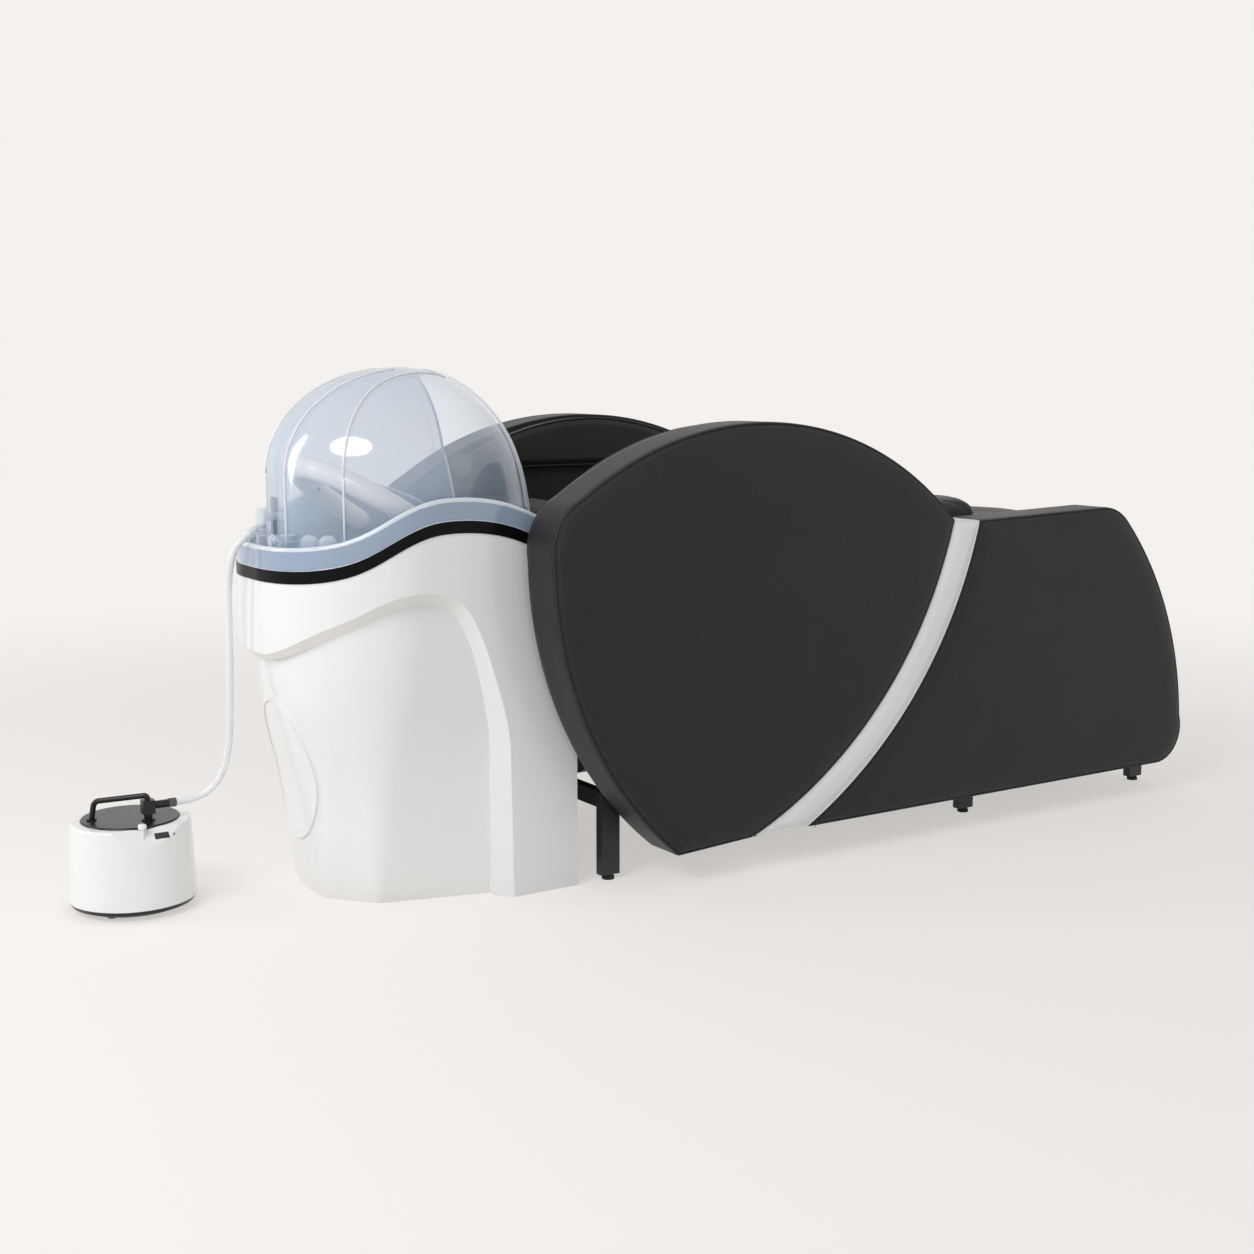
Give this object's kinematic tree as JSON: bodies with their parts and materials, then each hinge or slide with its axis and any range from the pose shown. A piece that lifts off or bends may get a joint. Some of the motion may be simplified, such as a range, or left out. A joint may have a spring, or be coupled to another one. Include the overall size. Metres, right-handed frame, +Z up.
{
  "type": "hair washing bed",
  "caption": "Hair washing bed with a white pedestal basin under a tilting translucent steam hood, padded curved side panels, a cushioned deck and a steam pot on a hose.",
  "frame": {"origin": "on the floor, under the middle of the whole object's box without the hose", "axes": "+X from the steam pot and basin to the foot end, +Z up, +Y to the side away from the camera"},
  "size_m": [2.411, 0.75, 0.965],
  "materials": {
    "white_shell": "white gloss moulded plastic",
    "black_band": "black gloss moulded plastic",
    "milky_blue": "translucent milky blue moulded plastic",
    "clear_knob": "clear acrylic",
    "pearl_arch": "warm pearl satin plastic",
    "black_leather": "fine grained black synthetic leather, satin",
    "white_leather": "fine grained white synthetic leather, satin",
    "dark_board": "dark laminated plywood",
    "black_steel": "black powder coated steel",
    "bright_steel": "zinc plated and stainless steel",
    "black_plastic": "black moulded plastic, satin",
    "pot_white": "white gloss moulded plastic",
    "grey_plastic": "grey moulded plastic",
    "black_rubber": "black rubber",
    "screen": "dark display window",
    "lamp": "clear lamp lens",
    "hose": "translucent white silicone"
  },
  "bodies": {
    "bed": {"pedestal_shell": "white_shell", "lip_screws": "grey_plastic", "trim_band": "black_band", "rim_collar": "milky_blue", "wash_basin": "milky_blue", "access_frame": "white_shell", "neck_rest": "black_rubber", "basin_drain": "bright_steel", "waste_trap": "grey_plastic", "base_tray": "grey_plastic", "water_pump": "black_plastic", "feed_pipe": "black_rubber", "mixer_block": "bright_steel", "arch_posts": "milky_blue", "hood_hinge": "clear_knob", "steam_elbow": "clear_knob", "frame_bolts": "bright_steel", "side_boards": "black_leather", "leaf_pad_near": "black_leather", "leaf_pad_far": "black_leather", "stripe_panels": "white_leather", "foot_pad_near": "black_leather", "foot_pad_far": "black_leather", "arm_pads": "black_leather", "foot_apron": "black_leather", "mattress": "black_leather", "leg_cushion": "black_leather", "cushion_boards": "dark_board", "carcass_boards": "dark_board", "frame_rails": "black_steel", "leg_frames": "black_steel", "pot_base": "black_plastic", "pot_feet": "black_rubber", "pot_display": "screen", "pot_lamp": "lamp", "pot_inlet": "black_plastic", "pot_body": "pot_white", "pot_tank": "bright_steel", "pot_heater": "bright_steel", "pot_lid": "black_plastic", "pot_handle": "black_plastic", "pot_valve": "black_plastic", "steam_hose": "hose"},
    "hood": {"steam_hood": "milky_blue"},
    "arch": {"water_arch": "pearl_arch", "arch_sleeves": "pearl_arch", "arch_nozzles": "grey_plastic"},
    "tap_hot_knob": {"tap_hot": "clear_knob"},
    "tap_cold_knob": {"tap_cold": "clear_knob"},
    "catcher": {"hair_catcher": "bright_steel"},
    "cover": {"access_cover": "white_shell"},
    "button": {"pot_button": "pot_white"},
    "nut": {"hose_nut": "grey_plastic"},
    "foot_head_near": {"levelling_foot_head_near": "black_rubber"},
    "foot_head_far": {"levelling_foot_head_far": "black_rubber"},
    "foot_middle_near": {"levelling_foot_middle_near": "black_rubber"},
    "foot_middle_far": {"levelling_foot_middle_far": "black_rubber"},
    "foot_end_near": {"levelling_foot_end_near": "black_rubber"},
    "foot_end_far": {"levelling_foot_end_far": "black_rubber"}
  },
  "joints": [
    {"name": "hood_tilt", "type": "hinge", "parent": "bed", "child": "hood", "pos_m": [-0.8585, 0, 0.664], "axis": [0, -1, 0], "range_deg": [0, 75]},
    {"name": "arch_tilt", "type": "hinge", "parent": "bed", "child": "arch", "pos_m": [-0.5985, 0, 0.671], "axis": [0, 1, 0], "range_deg": [-10, 55]},
    {"name": "tap_hot_turn", "type": "hinge", "parent": "bed", "child": "tap_hot_knob", "pos_m": [-0.7955, -0.058, 0.655], "axis": [0, 0, 1], "range_deg": [0, 270]},
    {"name": "tap_cold_turn", "type": "hinge", "parent": "bed", "child": "tap_cold_knob", "pos_m": [-0.7725, -0.086, 0.655], "axis": [0, 0, 1], "range_deg": [0, 270]},
    {"name": "catcher_lift", "type": "slide", "parent": "bed", "child": "catcher", "axis": [0, 0, 1], "range_m": [0, 0.04]},
    {"name": "cover_pull", "type": "slide", "parent": "bed", "child": "cover", "axis": [-1, 0, 0], "range_m": [0, 0.05]},
    {"name": "button_press", "type": "slide", "parent": "bed", "child": "button", "axis": [0, 0, -1], "range_m": [0, 0.0025], "stiffness_N_per_m": 400, "springref_m": -0.0005},
    {"name": "nut_turn", "type": "hinge", "parent": "bed", "child": "nut", "pos_m": [-1.0325, 0.048, 0.19], "axis": [1, 0, 0], "continuous": true},
    {"name": "levelling_head_near_turn", "type": "hinge", "parent": "bed", "child": "foot_head_near", "pos_m": [-0.2845, -0.2447, 0.01], "axis": [0, 0, 1], "continuous": true},
    {"name": "levelling_head_far_turn", "type": "hinge", "parent": "bed", "child": "foot_head_far", "pos_m": [-0.2845, 0.2447, 0.01], "axis": [0, 0, 1], "continuous": true},
    {"name": "levelling_middle_near_turn", "type": "hinge", "parent": "bed", "child": "foot_middle_near", "pos_m": [0.63866, -0.2447, 0.01], "axis": [0, 0, 1], "continuous": true},
    {"name": "levelling_middle_far_turn", "type": "hinge", "parent": "bed", "child": "foot_middle_far", "pos_m": [0.63866, 0.2447, 0.01], "axis": [0, 0, 1], "continuous": true},
    {"name": "levelling_end_near_turn", "type": "hinge", "parent": "bed", "child": "foot_end_near", "pos_m": [1.1855, -0.2447, 0.01], "axis": [0, 0, 1], "continuous": true},
    {"name": "levelling_end_far_turn", "type": "hinge", "parent": "bed", "child": "foot_end_far", "pos_m": [1.1855, 0.2447, 0.01], "axis": [0, 0, 1], "continuous": true}
  ]
}
